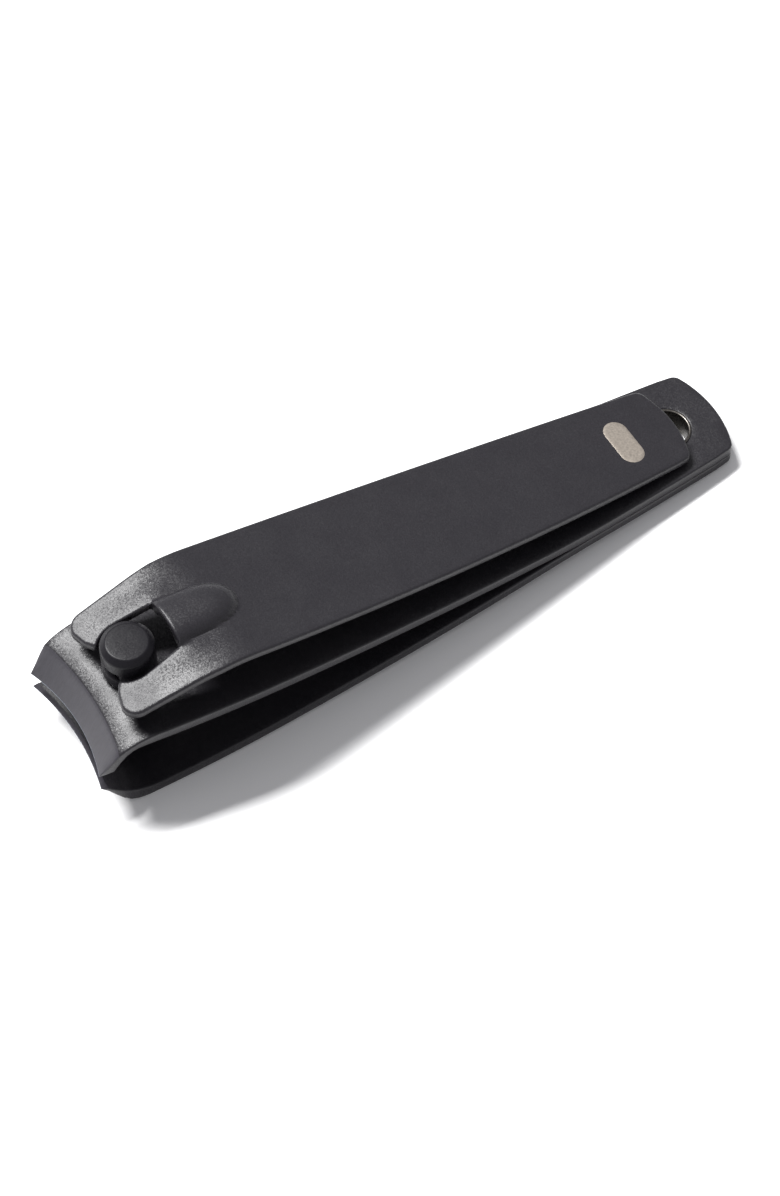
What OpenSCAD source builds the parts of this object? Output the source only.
// Large lever nail clipper, lying on its lower arm with the lever folded flat.
// +X runs from the jaws to the ring end, +Y is the left side, +Z is up.
// The origin is on the floor under the middle of the body.

/* [Body] */
// Length over the two arms, jaw edge to ring end
body_len = 79.3; // [60:0.1:90]
// Half width of the cutting edge
jaw_half = 7.0; // [5:0.1:8]
// Half width of the arms where they are widest
arm_half = 8.4; // [6:0.1:9.5]
// Distance of that widest place from the jaw edge
arm_belly_x = 20; // [12:1:30]
// Half width of the arms at the ring end
tail_half = 5.5; // [4:0.1:7]
// Thickness of the arm strip
strip_t = 1.3; // [1:0.05:1.6]
// Length of the rear end where both arms lie together
tail_len = 22.3; // [15:0.1:30]
// Angle at which each arm leaves the other
open_angle = 4.66; // [3:0.01:6]
// Tilt of the joined rear end against the floor
tail_tilt = 3.26; // [2:0.01:5]

/* [Jaws] */
// Gap between the two cutting edges at rest
jaw_gap = 2.4; // [1.5:0.1:3.5]
// How far the sloping jaw face runs back
face_run = 2.3; // [1.5:0.1:3]
// Height of the sloping jaw face above the cutting edge
face_rise = 3.3; // [2:0.1:4]
// Run of the rounded shoulder behind the jaw face
shoulder_run = 2.6; // [1:0.1:4]
// Width of the flat left on each cutting edge
edge_flat = 0.3; // [0.1:0.05:0.6]
// Hollow of the cutting edge at its middle
edge_hollow = 1.0; // [0.4:0.1:1.6]

/* [Ring rivet] */
// Distance of the rivet from the ring end
ring_back = 6.1; // [5:0.1:9]
// Outer radius of the hollow rivet
rivet_r = 2.65; // [2:0.05:3.2]
// Inner radius of the hollow rivet
ring_hole_r = 2.3; // [1.5:0.05:2.8]

/* [Pin] */
// Distance of the pin from the jaw edge
pin_x = 7.6; // [6:0.1:10]
// Radius of the pin above the arms
pin_r = 2.8; // [2:0.05:3.2]
// Height of the pin top above the floor
pin_top = 16.3; // [14:0.1:18]
// Width of the chamfer round the pin top
pin_chamfer = 0.62; // [0.2:0.02:1]
// Radius of the shank that passes through the arms
shank_r = 1.9; // [1.2:0.05:2.4]
// Radius of the riveted foot under the lower arm
foot_r = 2.7; // [2.2:0.05:3.2]
// Gap between the shank and the hole in the upper arm, which tips as it closes
blade_play = 0.7; // [0.4:0.05:0.85]
// Depth of the notch in the side of the pin
notch_depth = 0.8; // [0.3:0.05:1.2]

/* [Lever] */
// Thickness of the lever plate
lever_t = 1.05; // [0.8:0.05:1.4]
// Distance of the prong tips from the jaw edge
tip_x = 4.0; // [3:0.1:6]
// Height of the prong tips above the floor, top side
tip_z = 13.8; // [12:0.05:15]
// Distance of the lever bend from the jaw edge
bend_x = 14.6; // [12:0.1:18]
// Height of the lever bend above the floor
bend_z = 15.85; // [14:0.05:17]
// Distance of the lever end from the jaw edge
lever_end_x = 73.9; // [60:0.1:78]
// Height of the lever end above the floor, top side
lever_end_z = 4.1; // [3.5:0.05:6]
// Sag of the lever between its bend and its end
lever_sag = 0.65; // [0:0.05:1.5]
// Half width of the lever at its bend
lever_half = 7.35; // [5:0.05:8.5]
// Half width of the lever near its end
lever_end_half = 5.0; // [4:0.05:6]
// Radius of the round slot about the pin
slot_r = 3.3; // [2.9:0.05:3.8]
// Half width of the mouth between the prongs
mouth_half = 2.15; // [1.8:0.05:2.6]
// Rear end of the slot, under the hood
slot_rear_x = 12.3; // [11:0.1:14]
// Rear end of the hood
hood_end_x = 20.2; // [17:0.1:24]
// Outer radius of the hood at its open front
hood_r = 3.9; // [3:0.05:4.5]
// Height of the hood above the plate at its open front
hood_rise = 1.7; // [1:0.05:3]

/* [Hidden] */
$fn = 96;
half_len = body_len / 2;
// gap between the fixed tail and the moving blade of the upper arm
split_gap = 0.05;
lap_x = body_len - tail_len;
tail_z = strip_t / cos(tail_tilt);
hinge_z = tail_z + tail_len * tan(tail_tilt);
blade_slope = tan(tail_tilt + open_angle);
belly_slope = tan(open_angle - tail_tilt);
strip_v = strip_t / cos(tail_tilt + open_angle);
shoulder_x = face_run + shoulder_run;
mid_front_z = hinge_z + lap_x * tan(tail_tilt);
top_edge_z = mid_front_z + jaw_gap / 2;
low_edge_z = mid_front_z - jaw_gap / 2;
ring_x = body_len - ring_back;
flip_x = tip_x + 1.1;
flip_z = tip_z - lever_t / 2 + 0.25;

// height of the top of the upper blade at distance x from the jaw edge
function blade_top(x) = hinge_z + tail_z + (lap_x - x) * blade_slope;
// height of the underside of the lower arm at distance x from the jaw edge
function arm_under(x) = tail_len * tan(tail_tilt) - (lap_x - x) * belly_slope;
// half width of both arms at distance x from the jaw edge
function arm_w(x) = x < arm_belly_x
    ? arm_half - (arm_half - jaw_half) * pow(1 - x / arm_belly_x, 2)
    : arm_half - (arm_half - tail_half) * pow((x - arm_belly_x) / (body_len - arm_belly_x), 2);
// half width of the lever behind its bend
function lever_w(x) = lever_half
    - (lever_half - lever_end_half) * pow((x - bend_x) / (lever_end_x - bend_x), 2);
// height of the lever top at distance x from the jaw edge
function lever_z(x) = x < bend_x
    ? tip_z + (bend_z - tip_z) * (x - tip_x) / (bend_x - tip_x)
    : let (k = (x - bend_x) / (lever_end_x - bend_x))
      bend_z + (lever_end_z - bend_z) * k - 4 * lever_sag * k * (1 - k);
// points of a corner p between a and b, rounded with radius r
function corner(a, p, b, r, n = 6) =
    let (u = (a - p) / norm(a - p),
         v = (b - p) / norm(b - p),
         th = acos(u * v),
         c = p + (u + v) / norm(u + v) * r / sin(th / 2),
         q = p + u * r / tan(th / 2),
         s = p + v * r / tan(th / 2),
         a1 = atan2(q[1] - c[1], q[0] - c[0]),
         a2 = atan2(s[1] - c[1], s[0] - c[0]),
         da = ((a2 - a1 + 540) % 360) - 180)
    [for (i = [0 : n]) c + r * [cos(a1 + da * i / n), sin(a1 + da * i / n)]];
// mirror image of a list of outline points, in reverse order
function flip_list(p) = [for (i = [len(p) - 1 : -1 : 0]) [p[i][0], -p[i][1]]];

// plan outline of both arms
arm_side = [for (i = [0 : 22]) let (x = (body_len - 2.2) * i / 22) [x - (i == 0 ? 1 : 0), arm_w(x)]];
arm_end = corner([body_len - 6, arm_w(body_len - 6)], [body_len - 0.9, tail_half],
                 [body_len - 0.25, 1.6], 1.5);
arm_half_plan = concat(arm_side, arm_end, [[body_len - 0.12, 1.6], [body_len, 0.4]]);
arm_plan = concat(arm_half_plan, flip_list(arm_half_plan));

// side outlines, as [x, z] lists
blade_side = [
    [0, top_edge_z], [face_run, top_edge_z + face_rise],
    [face_run + shoulder_run * 0.42, blade_top(shoulder_x) - 0.22],
    [shoulder_x, blade_top(shoulder_x)],
    [lap_x - split_gap, blade_top(lap_x)],
    [lap_x - split_gap, hinge_z + 0.02], [lap_x - 0.4, hinge_z + 0.4 * blade_slope + 0.02],
    [shoulder_x, blade_top(shoulder_x) - strip_v],
    [face_run + 1.5, top_edge_z + face_rise - 1.35],
    [edge_flat + 0.5, top_edge_z + 0.35], [edge_flat, top_edge_z]];
belly_z = arm_under(shoulder_x);
low_v = strip_t / cos(open_angle - tail_tilt);
lower_side = [
    [0, low_edge_z], [face_run, low_edge_z - face_rise],
    [face_run + shoulder_run * 0.42, belly_z + 0.26], [shoulder_x, belly_z],
    [lap_x, arm_under(lap_x)], [body_len + 1, -tan(tail_tilt)],
    [body_len + 1, tail_z - tan(tail_tilt)], [lap_x, hinge_z],
    [shoulder_x, belly_z + low_v], [face_run + 1.5, low_edge_z - face_rise + 1.35],
    [edge_flat + 0.5, low_edge_z - 0.35], [edge_flat, low_edge_z]];
tail_side = [
    [lap_x, hinge_z], [body_len + 1, tail_z - tan(tail_tilt)],
    [body_len + 1, 2 * tail_z - tan(tail_tilt)], [lap_x, hinge_z + tail_z]];

// a strip cut to a side outline and a plan outline
module strip(side, plan) {
    intersection() {
        rotate([90, 0, 0]) linear_extrude(height = 30, center = true) polygon(side);
        translate([0, 0, -5]) linear_extrude(height = 40) polygon(plan);
    }
}

// the hollow of a jaw face, leaning back with the face
module face_hollow(z, lean) {
    r = (jaw_half * jaw_half + edge_hollow * edge_hollow) / (2 * edge_hollow);
    translate([edge_hollow - r, 0, z]) rotate([0, lean, 0])
        cylinder(r = r, h = 16, center = true, $fn = 180);
}

module bore(x, z, r, h, tilt = 0) {
    translate([x, 0, z]) rotate([0, tilt, 0]) cylinder(r = r, h = h, center = true);
}

module lower_arm() {
    color([0.16, 0.16, 0.17])
    translate([-half_len, 0, 0])
    difference() {
        strip(lower_side, arm_plan);
        face_hollow(low_edge_z, -atan(face_run / face_rise) * 0.6);
        bore(ring_x, 1.5, rivet_r, 8, tail_tilt);
        bore(pin_x, 1, shank_r + 0.05, 6);
        translate([pin_x, 0, arm_under(pin_x) - 1]) cylinder(r = foot_r + 0.15, h = 1.62);
    }
}

module upper_tail() {
    color([0.17, 0.17, 0.18])
    translate([-half_len, 0, 0])
    difference() {
        strip(tail_side, arm_plan);
        bore(ring_x, 3, rivet_r, 8, tail_tilt);
    }
}

module upper_blade() {
    color([0.19, 0.19, 0.2])
    translate([-half_len, 0, 0])
    difference() {
        strip(blade_side, arm_plan);
        face_hollow(top_edge_z, atan(face_run / face_rise) * 0.6);
        bore(pin_x, 10, shank_r + blade_play, 8);
    }
}

module ring_rivet() {
    color([0.5, 0.5, 0.52])
    translate([ring_x - half_len, 0, tail_z + ring_back * tan(tail_tilt)])
    rotate([0, tail_tilt, 0])
    rotate_extrude()
    polygon([[ring_hole_r, -strip_t], [rivet_r, -strip_t], [rivet_r, strip_t], [ring_hole_r, strip_t]]);
}

module pin() {
    color([0.15, 0.15, 0.16])
    translate([pin_x - half_len, 0, 0])
    difference() {
        rotate_extrude()
        polygon([
            [0, arm_under(pin_x) + 0.06], [foot_r, arm_under(pin_x) + 0.06],
            [foot_r, arm_under(pin_x) + 0.5], [shank_r, arm_under(pin_x) + 0.5],
            [shank_r, blade_top(pin_x) + 0.75], [pin_r, blade_top(pin_x) + 0.75],
            [pin_r, pin_top - pin_chamfer], [pin_r - pin_chamfer, pin_top], [0, pin_top]]);
        translate([-pin_r - 1, -5, flip_z - 0.6])
            cube([1 + notch_depth, 10, 1.2]);
    }
}

// outline of the lever seen from above
prong_tip = concat(
    [[flip_x + 0.05, 0], [flip_x + 0.05, mouth_half]],
    corner([flip_x + 0.05, mouth_half], [tip_x + 0.25, mouth_half + 1.3], [tip_x + 0.05, lever_half - 2.2], 1.2, 4),
    corner([tip_x, lever_half - 2.6], [tip_x, lever_half - 1.05], [bend_x - 1, lever_half - 0.12], 1.15));
lever_side_pts = [for (i = [0 : 18]) let (x = bend_x + (lever_end_x - 1.9 - bend_x) * i / 18) [x, lever_w(x)]];
lever_end_pts = concat(
    corner([lever_end_x - 5, lever_w(lever_end_x - 5)], [lever_end_x - 0.75, lever_end_half],
           [lever_end_x - 0.2, 1.5], 1.5),
    [[lever_end_x - 0.1, 1.5], [lever_end_x, 0.4]]);
lever_half_plan = concat(prong_tip, lever_side_pts, lever_end_pts);
lever_plan = concat(lever_half_plan, flip_list(lever_half_plan));
lever_top = concat(
    [[tip_x - 1, lever_z(tip_x - 1)], [bend_x - 1.2, lever_z(bend_x - 1.2)], [bend_x, bend_z - 0.1]],
    [for (i = [1 : 20]) let (x = bend_x + (lever_end_x + 1 - bend_x) * i / 20) [x, lever_z(x)]]);
lever_profile = concat(lever_top, [for (i = [len(lever_top) - 1 : -1 : 0]) lever_top[i] - [0, lever_t * 1.02]]);

// the hood: a cone lying on the plate, open at the slot
module hood_cone(grow) {
    translate([slot_rear_x, 0, lever_z(slot_rear_x) + hood_rise - hood_r])
    rotate([0, 90 + 13.5, 0])
    cylinder(r1 = hood_r - grow, r2 = 0.9 - grow * 0.6, h = hood_end_x - slot_rear_x);
}

module lever() {
    color([0.2, 0.2, 0.21])
    translate([-half_len, 0, 0])
    difference() {
        union() {
            strip(lever_profile, lever_plan);
            intersection() {
                hood_cone(0);
                rotate([90, 0, 0]) linear_extrude(height = 12, center = true)
                polygon([[slot_rear_x, lever_z(slot_rear_x) - 0.5], [bend_x, bend_z - 0.6],
                         [hood_end_x + 1, lever_z(hood_end_x + 1) - 0.5], [hood_end_x + 1, 20],
                         [slot_rear_x, 20]]);
            }
        }
        translate([0, 0, -0.01]) hood_hollow();
        translate([pin_x, 0, 9]) cylinder(r = slot_r, h = 10);
        translate([pin_x, -slot_r, 9]) cube([slot_rear_x - pin_x, 2 * slot_r, 10]);
        translate([tip_x - 2, -mouth_half, 9]) cube([pin_x - tip_x + 2, 2 * mouth_half, 10]);
    }
}

// the space under the hood
module hood_hollow() {
    translate([slot_rear_x - 0.02, 0, lever_z(slot_rear_x) + hood_rise - hood_r])
    rotate([0, 90 + 13.5, 0])
    cylinder(r1 = hood_r - lever_t, r2 = 0.2, h = hood_end_x - slot_rear_x - 2.2);
}

lower_arm();
ring_rivet();
upper_tail();
upper_blade();
pin();
lever();
